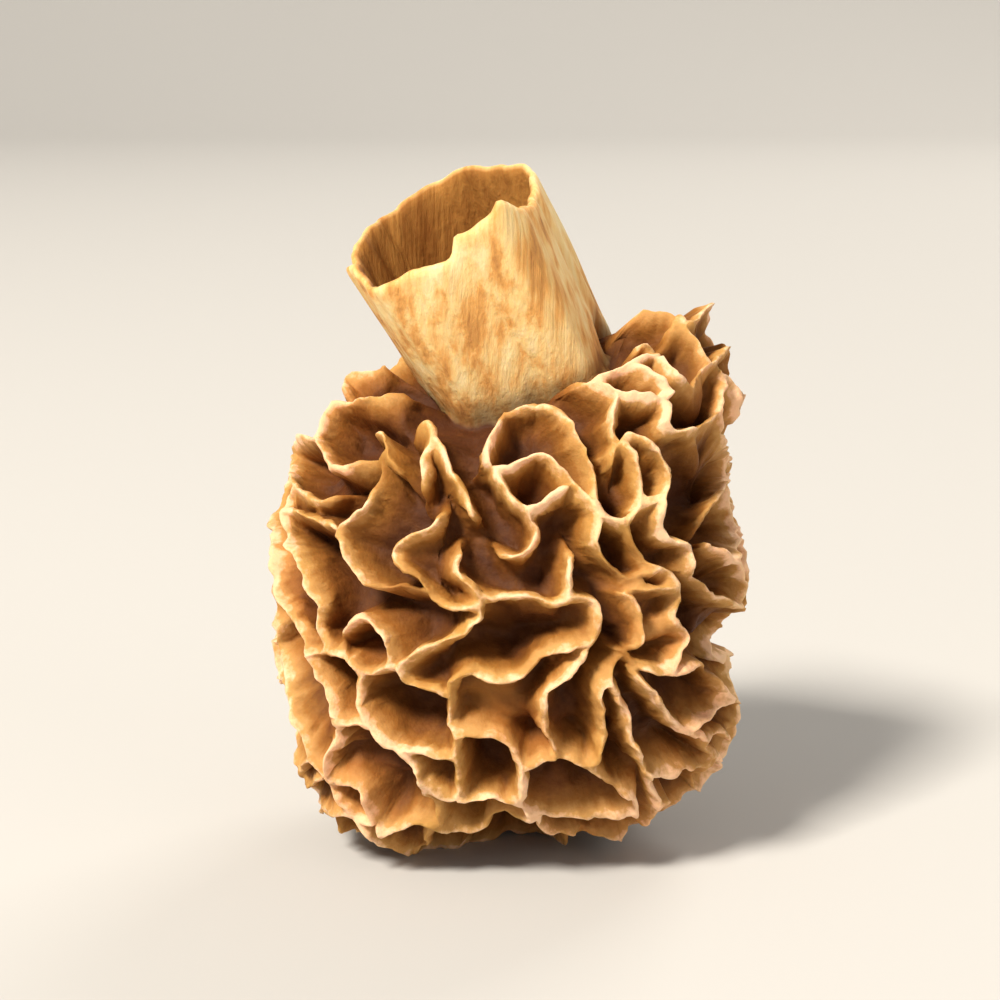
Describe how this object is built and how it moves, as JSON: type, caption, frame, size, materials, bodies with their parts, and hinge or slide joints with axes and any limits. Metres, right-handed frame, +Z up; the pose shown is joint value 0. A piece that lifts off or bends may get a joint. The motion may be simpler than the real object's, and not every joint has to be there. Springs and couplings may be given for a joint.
{
  "type": "dried morel mushroom",
  "caption": "Dried morel: a squat hollow cap of winding ridges round deep pits, with a short hollow stem cut open.",
  "frame": {"origin": "under the middle of the piece, on the surface that its crown rests on", "axes": "+Z up, from the crown that it rests on towards the cut stem; -Y towards the side that the stem leans to"},
  "size_m": [0.0216, 0.021, 0.0306],
  "materials": {
    "dried_flesh": "dry, matte to waxy, with pale ridge tops and dark pits"
  },
  "bodies": {
    "root": {"morel": "dried_flesh"}
  },
  "joints": []
}
